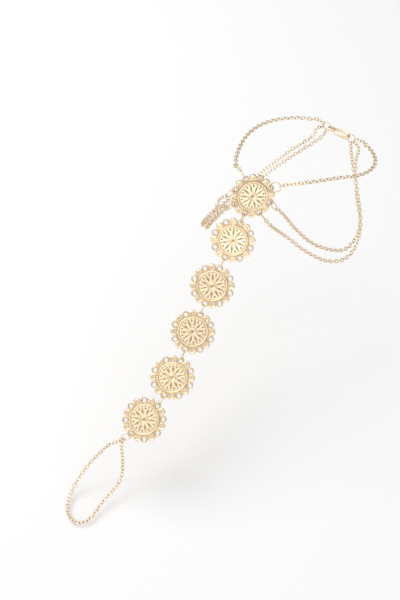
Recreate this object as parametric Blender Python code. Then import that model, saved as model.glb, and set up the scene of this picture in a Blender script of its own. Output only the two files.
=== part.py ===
# Barefoot sandal anklet: six pierced medallions hang in a row from an ankle chain, with two
# swags of chain on each side and a chain loop for the second toe at the lower end.
# Metres, +Z up. The origin is the middle of the ankle loop, and -Y points to the toes.

import math

import bmesh
import bpy
from mathutils import Matrix, Vector

MM = 0.001

# Medallion: a cast plate with sixteen petals, pierced and cupped in turn
PLATE_THICKNESS = 1.0 * MM
PETAL_PAIRS = 8
PIERCED_CENTRE = 9.3 * MM
PIERCED_RADIUS = 1.7 * MM
HOLE_RADIUS = 1.05 * MM
CUP_CENTRE = 9.05 * MM
CUP_PETAL_RADIUS = 1.95 * MM
CUP_RADIUS = 1.15 * MM
CUP_DEPTH = 0.4 * MM
PETAL_SEGMENTS = 4
HOLE_SIDES = 8
CUP_SIDES = 6

# Raised work on the medallion's face, measured out from its centre
DISC_RADIUS = 7.3 * MM
RIDGE_OUTER = 6.9 * MM
RIDGE_INNER = 6.3 * MM
FIELD_RADIUS = 5.9 * MM
RIDGE_RISE = 0.45 * MM
FIELD_RISE = 0.1 * MM
LEAF_START = 1.7 * MM
LEAF_MIDDLE = 3.4 * MM
LEAF_END = 5.3 * MM
LEAF_WIDTH = 2.2 * MM
LEAF_RISE = 0.5 * MM
BOSS_RADIUS = 1.0 * MM
BOSS_RISE = 0.6 * MM
DISC_SIDES = 20

# Jump rings, all of one size, and how far a chain runs straight out from one
RING_MID_RADIUS = 2.55 * MM
RING_WIRE_RADIUS = 0.3 * MM
RING_SIDES = 10
RING_WIRE_SIDES = 5
RING_LEAD = 3.0 * MM
SEAT_GAP = 0.3 * MM

# Chain: the ankle's chains are plain tubes as wide as the fine cable chain they stand for
CHAIN_WIDTH = 2.0 * MM
TUBE_POINT_SPACING = 6.0 * MM
ROUTE_STEPS = 24

# Links of the toe's cable chain
LINK_HALF_LENGTH = 1.15 * MM
LINK_HALF_WIDTH = 0.76 * MM
LINK_WIRE_RADIUS = 0.22 * MM
LINK_BITE = 0.1 * MM
LINK_SQUARENESS = 0.8
LINK_SIDES = 10
LINK_WIRE_SIDES = 5

# Gathering of the chains behind the ankle
END_RING_SPREAD = 7.4 * MM
END_RING_BACK = 38.6 * MM
CLASP_THICKNESS = 1.6 * MM
CLASP_HALF_WIDTH = 2.5 * MM
CLASP_BAND = 1.0 * MM
CLASP_SIDES = 12
CLASP_EYE_RADIUS = 1.8 * MM
CLASP_EYE_SWEEP = 200
CLASP_EYE_SIDES = 5
CLASP_HOLE_RADIUS = 0.85 * MM
CLASP_NECK = 1.4 * MM

# Middle of the first medallion
ROW_START = Vector((-2.6, -36.9, 6.3)) * MM

# One row for each medallion, in degrees: the way its face looks, round from the front and up
# from level, and the turn of its lower hole from the steepest way down
MEDALLION_FACING = [
    {"around": 46, "up": 21, "turn": -23.5},
    {"around": 25, "up": 35, "turn": -14},
    {"around": 29, "up": 48, "turn": -14.5},
    {"around": 35, "up": 61, "turn": -20},
    {"around": 21, "up": 60, "turn": -10},
    {"around": 9, "up": 53, "turn": -20},
]

# One row for each ring between two medallions, in degrees: its drop below level, and how far
# it heads to the outer side of the instep
LINK_RUN = [
    {"drop": 68, "heading": -12},
    {"drop": 41, "heading": 2},
    {"drop": 37, "heading": 10},
    {"drop": 35, "heading": 13},
    {"drop": 28, "heading": 3},
]

# One row for each chain from the first medallion to the end rings: its ring, the hole it hangs
# in (counted round from the lower one), the way the ring is drawn (swung off the hole's own
# outward way, and raised off the plate), its lean off square, the side it goes to, and where
# the chain meets its end ring, as degrees below the ring's outer side
CHAINS = {
    "ankle_chain_right": {
        "ring": "ankle_ring_right", "hole": 3, "swing": -14, "raise": 0, "lean": 40,
        "side": 1, "end": -15},
    "ankle_chain_left": {
        "ring": "ankle_ring_left", "hole": 5, "swing": 10, "raise": -50, "lean": 0,
        "side": -1, "end": -15},
    "swag_right_upper": {
        "ring": "swag_ring_right_upper", "hole": 2, "swing": -22, "raise": -10, "lean": 20,
        "side": 1, "end": 33},
    "swag_right_lower": {
        "ring": "swag_ring_right_lower", "hole": 1, "swing": 16, "raise": -10, "lean": 0,
        "side": 1, "end": 81},
    "swag_left_upper": {
        "ring": "swag_ring_left_upper", "hole": 6, "swing": 60, "raise": -20, "lean": 0,
        "side": -1, "end": 33},
    "swag_left_lower": {
        "ring": "swag_ring_left_lower", "hole": 7, "swing": 12, "raise": -50, "lean": 0,
        "side": -1, "end": 81},
}
TOE_RING = {"hole": 0, "swing": -14, "raise": -20, "lean": 25}

# Routes in millimetres: the ankle's chains from the first medallion's rings to the end rings,
# and the toe chain round the toe, measured from the middle of the last medallion
ROUTES = {
    "ankle_chain_right": [
        (13, -21, 12.5), (19, -12.5, 12), (24.8, -3.2, 11), (30.5, 6.5, 9.5),
        (31.5, 16, 7.5), (29, 25, 5.5), (23, 32.5, 3.5), (16.5, 37, 2),
    ],
    "ankle_chain_left": [
        (-17, -31.4, 13), (-21, -25.5, 11.7), (-26, -15, 10), (-29.5, -3, 8.5),
        (-30, 9, 7), (-27, 21, 5), (-21, 30.5, 3.5), (-15.5, 36.5, 2),
    ],
    "swag_right_upper": [
        (14.5, -18, -20), (20.9, -9.2, -32), (28.4, 3.4, -41), (30.3, 9.9, -43),
        (30.5, 16.4, -42), (29.2, 22.6, -38), (26, 26.5, -33), (22.3, 28.5, -28),
        (17.5, 33, -20), (13.5, 36.5, -11),
    ],
    "swag_right_lower": [
        (10.3, -19.7, -26), (18.7, -10.8, -38), (25.7, -2.1, -46), (30.2, 6.1, -49),
        (31.5, 12.6, -49), (31, 19.8, -46.5), (28.3, 26.2, -41), (24.5, 30.2, -35),
        (19, 34, -27), (12.5, 37.5, -17),
    ],
    "swag_left_upper": [
        (-15.5, -47, 0), (-18.2, -48.5, -9.5), (-23.5, -46, -19), (-29.5, -36, -27),
        (-33.5, -22, -33), (-34.5, -7, -36), (-33.5, 8, -35), (-29.5, 21, -29),
        (-22, 31, -19), (-14, 37, -9),
    ],
    "swag_left_lower": [
        (-17.5, -44.5, -10), (-20.5, -44.5, -17.5), (-25.5, -39.5, -27), (-31, -28, -36),
        (-35, -14, -42), (-36.5, 1, -44), (-34, 15, -40.5), (-27, 27, -30.5),
        (-17, 35.5, -18),
    ],
    "toe_chain": [
        (-9.2, -15.1, -12.2), (-11.8, -19.1, -17.2), (-14.3, -23, -22.7), (-15.8, -27.8, -28.2),
        (-15.5, -33.8, -32.2), (-13.4, -40.3, -34.2), (-9.3, -45.6, -34.7), (-4.3, -47.4, -34.8),
        (-0.2, -45.4, -34.7), (1.3, -40.3, -34.2), (0.6, -33.7, -33.2), (0.7, -26.8, -31.5),
        (1.4, -21.3, -29.2), (0.8, -17.4, -25.7), (-1.3, -14.4, -17.2),
    ],
}

# Degrees off the toe ring's far side at which the toe chain's two ends meet it
TOE_CHAIN_SPREAD = 10

GOLD = (0.86, 0.62, 0.36, 1.0)
GOLD_ROUGHNESS = 0.28


def clear_scene():
    for item in list(bpy.data.objects):
        bpy.data.objects.remove(item, do_unlink=True)


def gold_material(name):
    material = bpy.data.materials.new(name + "_gold")
    material.use_nodes = True
    shader = material.node_tree.nodes["Principled BSDF"]
    shader.inputs["Base Color"].default_value = GOLD
    shader.inputs["Metallic"].default_value = 1.0
    shader.inputs["Roughness"].default_value = GOLD_ROUGHNESS
    return material


def add_object(name, data, frame=None):
    item = bpy.data.objects.new(name, data)
    bpy.context.scene.collection.objects.link(item)
    data.materials.append(gold_material(name))
    if frame is not None:
        item.matrix_world = frame
    return item


def mesh_from(bm, name):
    bmesh.ops.recalc_face_normals(bm, faces=bm.faces)
    mesh = bpy.data.meshes.new(name)
    bm.to_mesh(mesh)
    bm.free()
    return mesh


def polar(radius, angle):
    return Vector((radius * math.cos(angle), radius * math.sin(angle)))


def circle_points(centre, radius, sides, start=0.0):
    return [centre + polar(radius, start + 2 * math.pi * step / sides) for step in range(sides)]


def level_loop(bm, points, height):
    return [bm.verts.new((point.x, point.y, height)) for point in points]


def loop_edges(bm, loop):
    pairs = zip(loop, loop[1:] + loop[:1])
    return [bm.edges.get(pair) or bm.edges.new(pair) for pair in pairs]


def fill_level(bm, loops):
    edges = [edge for loop in loops for edge in loop_edges(bm, loop)]
    bmesh.ops.triangle_fill(bm, edges=edges, use_beauty=True, use_dissolve=False)


def join_loops(bm, lower, upper):
    for index in range(len(lower)):
        following = (index + 1) % len(lower)
        bm.faces.new((lower[index], lower[following], upper[following], upper[index]))


def cap_loop(bm, loop, top):
    apex = bm.verts.new(top)
    for index in range(len(loop)):
        bm.faces.new((loop[index], loop[(index + 1) % len(loop)], apex))


def circles_meet(centre_a, radius_a, centre_b, radius_b):
    # The crossing of two circles that lies farther from the medallion's centre
    apart = centre_b - centre_a
    distance = apart.length
    along = (distance ** 2 + radius_a ** 2 - radius_b ** 2) / (2 * distance)
    across = math.sqrt(max(radius_a ** 2 - along ** 2, 0.0))
    foot = centre_a + apart * (along / distance)
    side = Vector((-apart.y, apart.x)) * (across / distance)
    return max((foot + side, foot - side), key=lambda point: point.length)


def petal_arc(centre, radius, start, end):
    first = math.atan2(start.y - centre.y, start.x - centre.x)
    sweep = (math.atan2(end.y - centre.y, end.x - centre.x) - first) % (2 * math.pi)
    return [centre + polar(radius, first + sweep * step / PETAL_SEGMENTS)
            for step in range(PETAL_SEGMENTS)]


def plate_outline():
    pitch = math.pi / PETAL_PAIRS
    petals = []
    for index in range(2 * PETAL_PAIRS):
        if index % 2 == 0:
            petals.append((polar(PIERCED_CENTRE, index * pitch), PIERCED_RADIUS))
        else:
            petals.append((polar(CUP_CENTRE, index * pitch), CUP_PETAL_RADIUS))
    valleys = [circles_meet(*petals[index - 1], *petals[index]) for index in range(len(petals))]
    outline = []
    for index, (centre, radius) in enumerate(petals):
        outline += petal_arc(centre, radius, valleys[index], valleys[(index + 1) % len(petals)])
    return outline


def leaf_points(angle):
    half = math.atan2(LEAF_WIDTH * 0.5, LEAF_MIDDLE)
    return [polar(LEAF_START, angle), polar(LEAF_MIDDLE, angle - half),
            polar(LEAF_END, angle), polar(LEAF_MIDDLE, angle + half)]


def medallion_mesh():
    bm = bmesh.new()
    turn = 2 * math.pi / PETAL_PAIRS
    outline = plate_outline()
    holes = [circle_points(polar(PIERCED_CENTRE, turn * step), HOLE_RADIUS, HOLE_SIDES)
             for step in range(PETAL_PAIRS)]
    cups = [circle_points(polar(CUP_CENTRE, turn * (step + 0.5)), CUP_RADIUS, CUP_SIDES,
                          turn * (step + 0.5))
            for step in range(PETAL_PAIRS)]

    # Back, edge and pierced holes
    back_outline = level_loop(bm, outline, 0.0)
    face_outline = level_loop(bm, outline, PLATE_THICKNESS)
    back_holes = [level_loop(bm, hole, 0.0) for hole in holes]
    face_holes = [level_loop(bm, hole, PLATE_THICKNESS) for hole in holes]
    fill_level(bm, [back_outline] + back_holes)
    join_loops(bm, back_outline, face_outline)
    for back_hole, face_hole in zip(back_holes, face_holes):
        join_loops(bm, face_hole, back_hole)

    # Face of the petals, with the cups sunk into it
    face_cups = [level_loop(bm, cup, PLATE_THICKNESS) for cup in cups]
    origin = Vector((0.0, 0.0))
    disc_edge = level_loop(bm, circle_points(origin, DISC_RADIUS, DISC_SIDES), PLATE_THICKNESS)
    fill_level(bm, [face_outline, disc_edge] + face_holes + face_cups)
    for cup, face_cup in zip(cups, face_cups):
        floor = level_loop(bm, cup, PLATE_THICKNESS - CUP_DEPTH)
        join_loops(bm, floor, face_cup)
        bm.faces.new(floor)

    # Raised ring and field of the disc
    ridge_level = PLATE_THICKNESS + RIDGE_RISE
    field_level = PLATE_THICKNESS + FIELD_RISE
    ridge_outer = level_loop(bm, circle_points(origin, RIDGE_OUTER, DISC_SIDES), ridge_level)
    ridge_inner = level_loop(bm, circle_points(origin, RIDGE_INNER, DISC_SIDES), ridge_level)
    field_edge = level_loop(bm, circle_points(origin, FIELD_RADIUS, DISC_SIDES), field_level)
    join_loops(bm, disc_edge, ridge_outer)
    join_loops(bm, ridge_outer, ridge_inner)
    join_loops(bm, ridge_inner, field_edge)

    # Eight leaves and the centre boss
    leaves = [level_loop(bm, leaf_points(turn * step), field_level)
              for step in range(PETAL_PAIRS)]
    boss = level_loop(bm, circle_points(origin, BOSS_RADIUS, PETAL_PAIRS), field_level)
    fill_level(bm, [field_edge, boss] + leaves)
    for step, leaf in enumerate(leaves):
        crest = polar(LEAF_MIDDLE, turn * step)
        cap_loop(bm, leaf, (crest.x, crest.y, field_level + LEAF_RISE))
    cap_loop(bm, boss, (0.0, 0.0, field_level + BOSS_RISE))
    return mesh_from(bm, "medallion")


def facing_normal(row):
    around = math.radians(row["around"])
    up = math.radians(row["up"])
    return Vector((math.sin(around) * math.cos(up), -math.cos(around) * math.cos(up), math.sin(up)))


def run_direction(row):
    drop = math.radians(row["drop"])
    heading = math.radians(row["heading"])
    return Vector((math.cos(drop) * math.sin(heading), -math.cos(drop) * math.cos(heading),
                   -math.sin(drop)))


def lower_hole_direction(row):
    normal = facing_normal(row)
    downhill = (Vector((0, 0, -1)) + normal * normal.z).normalized()
    return Matrix.Rotation(math.radians(row["turn"]), 3, normal) @ downhill


def wire_room(thickness, cosine):
    # Space that a ring's wire takes inward from the wall of a hole, for the way the wire leans
    # off square in a plate of that thickness
    slope = math.sqrt(1 - cosine ** 2) / cosine
    bow = thickness ** 2 / (8 * RING_MID_RADIUS)
    return SEAT_GAP + RING_WIRE_RADIUS / cosine + slope * thickness * 0.5 + bow


def seat_reach(wire, normal):
    # From a medallion's centre to the wire of a ring that rests against its hole's outer side
    cosine = abs(wire.dot(normal))
    return PIERCED_CENTRE + HOLE_RADIUS - wire_room(PLATE_THICKNESS, cosine)


def square_to(direction, along):
    return (direction - along * direction.dot(along)).normalized()


def place_medallions():
    # Each medallion hangs one ring below the last, so every centre follows from the sizes
    frames = []
    for index, row in enumerate(MEDALLION_FACING):
        frame = {"centre": ROW_START, "lower": lower_hole_direction(row),
                 "normal": facing_normal(row)}
        if index:
            above = frames[-1]
            along = run_direction(LINK_RUN[index - 1])
            wire = square_to(above["normal"] + frame["normal"], along)
            above["seat"] = above["centre"] + above["lower"] * seat_reach(wire, above["normal"])
            below = above["seat"] + along * 2 * RING_MID_RADIUS
            frame["centre"] = below + frame["lower"] * seat_reach(wire, frame["normal"])
        frames.append(frame)
    return frames


def axes_matrix(x_axis, z_axis, place):
    matrix = Matrix((x_axis, z_axis.cross(x_axis), z_axis)).transposed().to_4x4()
    matrix.translation = place
    return matrix


def plate_matrix(frame):
    # Local +X points to the lower hole and local +Z looks out
    back = frame["centre"] - frame["normal"] * PLATE_THICKNESS * 0.5
    return axes_matrix(frame["lower"], frame["normal"], back)


def hole_direction(frame, hole):
    # Holes are counted anticlockwise from the lower one, seen from the front
    angle = 2 * math.pi * hole / PETAL_PAIRS
    return Matrix.Rotation(angle, 3, frame["normal"]) @ frame["lower"]


def loop_mesh(points, wire_radius, wire_sides, name):
    # Sweeps a wire of few sides round a closed flat loop, with one edge of the wire inward
    bm = bmesh.new()
    sections = []
    count = len(points)
    for index, point in enumerate(points):
        ahead = (points[(index + 1) % count] - points[index - 1]).normalized()
        outward = ahead.cross(Vector((0, 0, 1)))
        section = []
        for side in range(wire_sides):
            angle = math.pi + 2 * math.pi * side / wire_sides
            offset = outward * math.cos(angle) + Vector((0, 0, 1)) * math.sin(angle)
            section.append(bm.verts.new(point + offset * wire_radius))
        sections.append(section)
    for index in range(count):
        join_loops(bm, sections[index], sections[(index + 1) % count])
    return mesh_from(bm, name)


def ring_mesh():
    points = [polar(RING_MID_RADIUS, 2 * math.pi * step / RING_SIDES).to_3d()
              for step in range(RING_SIDES)]
    return loop_mesh(points, RING_WIRE_RADIUS, RING_WIRE_SIDES, "jump_ring")


def link_mesh():
    # One link of the cable chain, an oval with a straight piece of wire at each end
    tip = math.cos(math.pi / LINK_SIDES) ** LINK_SQUARENESS
    points = []
    for step in range(LINK_SIDES):
        angle = 2 * math.pi * (step + 0.5) / LINK_SIDES
        x, y = (math.copysign(abs(value) ** LINK_SQUARENESS, value)
                for value in (math.cos(angle), math.sin(angle)))
        points.append(Vector((LINK_HALF_LENGTH * x / tip, LINK_HALF_WIDTH * y, 0)))
    return loop_mesh(points, LINK_WIRE_RADIUS, LINK_WIRE_SIDES, "chain_link")


def ring_matrix(seat, along, wire):
    # The ring's wire passes the seat, and the ring runs from there along one direction
    return axes_matrix(along, along.cross(wire), seat + along * RING_MID_RADIUS)


def hang_ring(name, frame, row, shape):
    # A ring drawn round the rim of one hole, resting on the rim's corner when it is raised
    # or lowered off the plate, and level with the plate otherwise
    outward = hole_direction(frame, row["hole"])
    normal = frame["normal"]
    flat = Matrix.Rotation(math.radians(row["swing"]), 3, normal) @ outward
    lift = math.radians(row["raise"])
    along = flat * math.cos(lift) + normal * math.sin(lift)
    wire = Matrix.Rotation(math.radians(row["lean"]), 3, along) @ square_to(normal, along)
    centre = frame["centre"] + outward * PIERCED_CENTRE + flat * HOLE_RADIUS
    inside = RING_MID_RADIUS - RING_WIRE_RADIUS - SEAT_GAP
    corner = PLATE_THICKNESS * 0.5
    if abs(math.sin(lift)) * inside > corner:
        centre += along * inside - normal * math.copysign(corner, lift)
    else:
        centre += flat * math.sqrt(inside ** 2 - corner ** 2)
    centre -= flat * corner * math.tan(abs(math.radians(row["lean"])))
    matrix = axes_matrix(along, along.cross(wire), centre)
    add_object(name, shape.copy(), matrix)
    return matrix


def smooth_route(points):
    # A dense centripetal curve through the chosen points
    ends = [points[0] * 2 - points[1]] + points + [points[-1] * 2 - points[-2]]
    dense = []
    for index in range(1, len(ends) - 2):
        p0, p1, p2, p3 = ends[index - 1:index + 3]
        t1 = (p1 - p0).length ** 0.5
        t2 = t1 + (p2 - p1).length ** 0.5
        t3 = t2 + (p3 - p2).length ** 0.5
        for step in range(ROUTE_STEPS):
            t = t1 + (t2 - t1) * step / ROUTE_STEPS
            a1 = p0 * ((t1 - t) / t1) + p1 * (t / t1)
            a2 = p1 * ((t2 - t) / (t2 - t1)) + p2 * ((t - t1) / (t2 - t1))
            a3 = p2 * ((t3 - t) / (t3 - t2)) + p3 * ((t - t2) / (t3 - t2))
            b1 = a1 * ((t2 - t) / t2) + a2 * (t / t2)
            b2 = a2 * ((t3 - t) / (t3 - t1)) + a3 * ((t - t1) / (t3 - t1))
            dense.append(b1 * ((t2 - t) / (t2 - t1)) + b2 * ((t - t1) / (t2 - t1)))
    dense.append(points[-1])
    return dense


def even_points(dense, count):
    lengths = [0.0]
    for start, end in zip(dense, dense[1:]):
        lengths.append(lengths[-1] + (end - start).length)
    spaced = []
    cursor = 0
    for index in range(count):
        target = lengths[-1] * index / (count - 1)
        while cursor < len(lengths) - 2 and lengths[cursor + 1] < target:
            cursor += 1
        share = (target - lengths[cursor]) / (lengths[cursor + 1] - lengths[cursor])
        spaced.append(dense[cursor].lerp(dense[cursor + 1], share))
    return spaced


def route_length(dense):
    return sum((end - start).length for start, end in zip(dense, dense[1:]))


def add_tube(name, points):
    dense = smooth_route(points)
    count = max(3, round(route_length(dense) / TUBE_POINT_SPACING) + 1)
    curve = bpy.data.curves.new(name, "CURVE")
    curve.dimensions = "3D"
    curve.bevel_depth = CHAIN_WIDTH * 0.5
    curve.bevel_resolution = 2
    curve.use_fill_caps = True
    spline = curve.splines.new("POLY")
    spline.points.add(count - 1)
    for target, point in zip(spline.points, even_points(dense, count)):
        target.co = (*point, 1.0)
    return add_object(name, curve)


def add_medallions(frames):
    shape = medallion_mesh()
    for index, frame in enumerate(frames):
        add_object(f"medallion_{index + 1}", shape.copy(), plate_matrix(frame))


def add_link_rings(frames, shape):
    for index, frame in enumerate(frames[:-1]):
        along = run_direction(LINK_RUN[index])
        wire = square_to(frame["normal"] + frames[index + 1]["normal"], along)
        add_object(f"link_ring_{index + 1}_{index + 2}", shape.copy(),
                   ring_matrix(frame["seat"], along, wire))


def route_points(name, start=Vector()):
    return [start + Vector(point) * MM for point in ROUTES[name]]


def add_chains(frame, ring):
    # Each chain leaves and meets its rings straight out from their middles
    outside = RING_MID_RADIUS + RING_WIRE_RADIUS + SEAT_GAP
    for name, row in CHAINS.items():
        hung = hang_ring(row["ring"], frame, row, ring)
        first = [hung @ Vector((reach, 0, 0)) for reach in (outside, outside + RING_LEAD)]
        end_ring = Vector((row["side"] * END_RING_SPREAD, END_RING_BACK, 0))
        turn = math.radians(row["end"])
        outward = Vector((row["side"] * math.cos(turn), 0, -math.sin(turn)))
        last = [end_ring + outward * reach for reach in (outside + RING_LEAD, outside)]
        add_tube(name, first + route_points(name) + last)


def add_end_rings(shape):
    for name, side in (("end_ring_right", 1), ("end_ring_left", -1)):
        inner = Vector((side * (END_RING_SPREAD - RING_MID_RADIUS), END_RING_BACK, 0))
        add_object(name, shape.copy(), ring_matrix(inner, Vector((side, 0, 0)), Vector((0, 0, 1))))


def oval_points(middle, half_length, half_width, start):
    angles = [start + 2 * math.pi * step / CLASP_SIDES for step in range(CLASP_SIDES)]
    return [middle + Vector((half_length * math.cos(angle), half_width * math.sin(angle)))
            for angle in angles]


def add_clasp():
    # A plain closed piece: an eye round one end ring, and a long loop round the other
    bm = bmesh.new()
    ring_inner = END_RING_SPREAD - RING_MID_RADIUS
    bite = wire_room(CLASP_THICKNESS, 1.0)
    eye = Vector((-ring_inner - bite + CLASP_HOLE_RADIUS, 0))
    loop_start = eye.x + CLASP_NECK
    loop_end = ring_inner + bite + CLASP_BAND
    middle = Vector(((loop_end + loop_start) * 0.5, 0))
    half = (loop_end - loop_start) * 0.5
    half_step = math.pi / CLASP_SIDES
    outer = oval_points(middle, half, CLASP_HALF_WIDTH, math.pi + half_step)
    inner = oval_points(middle, half - CLASP_BAND, CLASP_HALF_WIDTH - CLASP_BAND, half_step)
    sweep = math.radians(CLASP_EYE_SWEEP)
    tail = [eye + polar(CLASP_EYE_RADIUS, math.pi + sweep * (step / CLASP_EYE_SIDES - 0.5))
            for step in range(CLASP_EYE_SIDES + 1)]
    loops = [outer + tail, inner, circle_points(eye, CLASP_HOLE_RADIUS, HOLE_SIDES)]
    levels = []
    for height in (-CLASP_THICKNESS * 0.5, CLASP_THICKNESS * 0.5):
        made = [level_loop(bm, loop, height) for loop in loops]
        fill_level(bm, made)
        levels.append(made)
    for lower, upper in zip(*levels):
        join_loops(bm, lower, upper)
    add_object("clasp", mesh_from(bm, "clasp"), Matrix.Translation((0, END_RING_BACK, 0)))


def link_pitch():
    return 2 * (LINK_HALF_LENGTH - LINK_WIRE_RADIUS) + LINK_BITE


def link_frames(stations, first_side, last_side):
    # Carries a side direction along the chain with an even twist, so that the end links lie
    # square to the ring's wire, and gives every other link a quarter turn
    runs = [(end - start).normalized() for start, end in zip(stations, stations[1:])]
    sides = [square_to(first_side, runs[0])]
    for run in runs[1:]:
        sides.append(square_to(sides[-1], run))
    count = len(runs)
    quarters = math.pi * 0.5 * ((count - 1) % 2)
    wanted = square_to(last_side, runs[-1])
    twist = math.atan2(runs[-1].dot(sides[-1].cross(wanted)), sides[-1].dot(wanted)) - quarters
    twist = (twist + math.pi * 0.5) % math.pi - math.pi * 0.5
    frames = []
    for index, (run, side) in enumerate(zip(runs, sides)):
        turn = math.pi * 0.5 * (index % 2) + twist * index / (count - 1)
        across = Matrix.Rotation(turn, 3, run) @ side
        middle = (stations[index] + stations[index + 1]) * 0.5
        frames.append(axes_matrix(run, run.cross(across), middle))
    return frames


def add_link_chain(name, points, first_side, last_side):
    # Links set a quarter turn from one to the next and fused where they bite on each other
    dense = smooth_route(points)
    count = round(route_length(dense) / link_pitch())
    frames = link_frames(even_points(dense, count + 1), first_side, last_side)
    shape = link_mesh()
    halves = []
    for first in (0, 1):
        bm = bmesh.new()
        for frame in frames[first::2]:
            link = shape.copy()
            link.transform(frame)
            bm.from_mesh(link)
            bpy.data.meshes.remove(link)
        halves.append(mesh_from(bm, name))
    others = bpy.data.objects.new(name + "_other_links", halves[1])
    bpy.context.scene.collection.objects.link(others)
    others.hide_render = True
    others.display_type = "WIRE"
    chain = add_object(name, halves[0])
    fuse = chain.modifiers.new("fuse", "BOOLEAN")
    fuse.operation = "UNION"
    fuse.solver = "EXACT"
    fuse.object = others


def add_toe_loop(frame, shape):
    # The end links of the toe chain close round the ring's wire, one above the other
    points = route_points("toe_chain", frame["centre"])
    ring = hang_ring("toe_ring", frame, TOE_RING, shape)
    reach = RING_WIRE_RADIUS + SEAT_GAP + LINK_BITE * 0.5
    hooks = []
    for side, toward in ((1, points[0]), (-1, points[-1])):
        turn = side * math.radians(TOE_CHAIN_SPREAD)
        held = ring @ (Vector((math.cos(turn), math.sin(turn), 0)) * RING_MID_RADIUS)
        wire = ring.to_3x3() @ Vector((-math.sin(turn), math.cos(turn), 0))
        run = square_to(toward - held, wire)
        hooks.append({"inner": held - run * reach, "lead": held + run * RING_LEAD,
                      "side": wire.cross(run)})
    first, last = hooks
    route = [first["inner"], first["lead"]] + points + [last["lead"], last["inner"]]
    add_link_chain("toe_chain", route, first["side"], last["side"])


def build():
    clear_scene()
    frames = place_medallions()
    ring = ring_mesh()
    add_medallions(frames)
    add_link_rings(frames, ring)
    add_chains(frames[0], ring)
    add_end_rings(ring)
    add_clasp()
    add_toe_loop(frames[-1], ring)


build()
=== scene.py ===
import math
import random

import bmesh
import bpy
from mathutils import Matrix, Vector
from mathutils.geometry import tessellate_polygon


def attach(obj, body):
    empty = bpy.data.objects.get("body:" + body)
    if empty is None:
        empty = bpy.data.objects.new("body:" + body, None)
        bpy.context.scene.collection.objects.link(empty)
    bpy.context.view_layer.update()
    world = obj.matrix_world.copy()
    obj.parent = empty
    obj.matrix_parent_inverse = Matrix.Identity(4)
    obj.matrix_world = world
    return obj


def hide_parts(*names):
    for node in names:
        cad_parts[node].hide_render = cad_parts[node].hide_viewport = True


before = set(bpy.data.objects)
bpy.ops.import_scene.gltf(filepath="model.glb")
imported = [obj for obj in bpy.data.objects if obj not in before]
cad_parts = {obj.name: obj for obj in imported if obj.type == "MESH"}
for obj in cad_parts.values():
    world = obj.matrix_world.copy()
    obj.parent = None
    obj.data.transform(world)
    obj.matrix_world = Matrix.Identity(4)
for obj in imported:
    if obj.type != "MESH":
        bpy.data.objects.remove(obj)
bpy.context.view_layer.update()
scene = bpy.context.scene
mm = 0.001
print("frame loaded:", len(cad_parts), "solids")


def polar(radius, angle):
    return Vector((radius * math.cos(angle), radius * math.sin(angle), 0))


def smoothStep(start, end, value):
    share = min(max((value - start) / (end - start), 0), 1)
    return share * share * (3 - 2 * share)


roundPower = 0.6                                 # shape of a rounded crest, 0.5 for half a circle


def roundTop(distance, halfWidth):
    share = abs(distance) / halfWidth
    return (1 - share * share) ** roundPower if share < 1 else 0


def squareTo(direction, along):
    return (direction - along * direction.dot(along)).normalized()


def axesMatrix(xAxis, zAxis, place):
    matrix = Matrix((xAxis, zAxis.cross(xAxis), zAxis)).transposed().to_4x4()
    matrix.translation = place
    return matrix


def addPiece(name, mesh, material, node, matrix=None):
    # One rigid piece that stands for the solid of that name
    piece = bpy.data.objects.new(name, mesh)
    scene.collection.objects.link(piece)
    piece.matrix_world = matrix or Matrix()
    mesh.materials.clear()
    mesh.materials.append(material)
    for polygon in mesh.polygons:
        polygon.use_smooth = True
    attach(piece, "root")
    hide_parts(node)
    return piece


def newGroup(name, inputs, outputs):
    group = bpy.data.node_groups.new(name, "ShaderNodeTree")
    for label, kind, value in inputs:
        socket = group.interface.new_socket(name=label, in_out="INPUT", socket_type=kind)
        socket.default_value = value
    for label, kind in outputs:
        group.interface.new_socket(name=label, in_out="OUTPUT", socket_type=kind)
    return group, group.nodes.new("NodeGroupInput"), group.nodes.new("NodeGroupOutput")


toneGrainShadeLook = {
    "driftDetail": 3, "driftFrom": 0.4, "driftTo": 0.65, "driftMost": 0.7,
    "grainDetail": 4, "grainRoughness": 0.6, "grainRub": 0.5,
    "brokenBy": 0.3, "brokenBase": 0.85,         # how the grain breaks up the painted shade's edge
    "wallFrom": 1, "wallTo": 2,                  # painted shade values between which a wall turns to the dark painted shade
}


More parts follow.
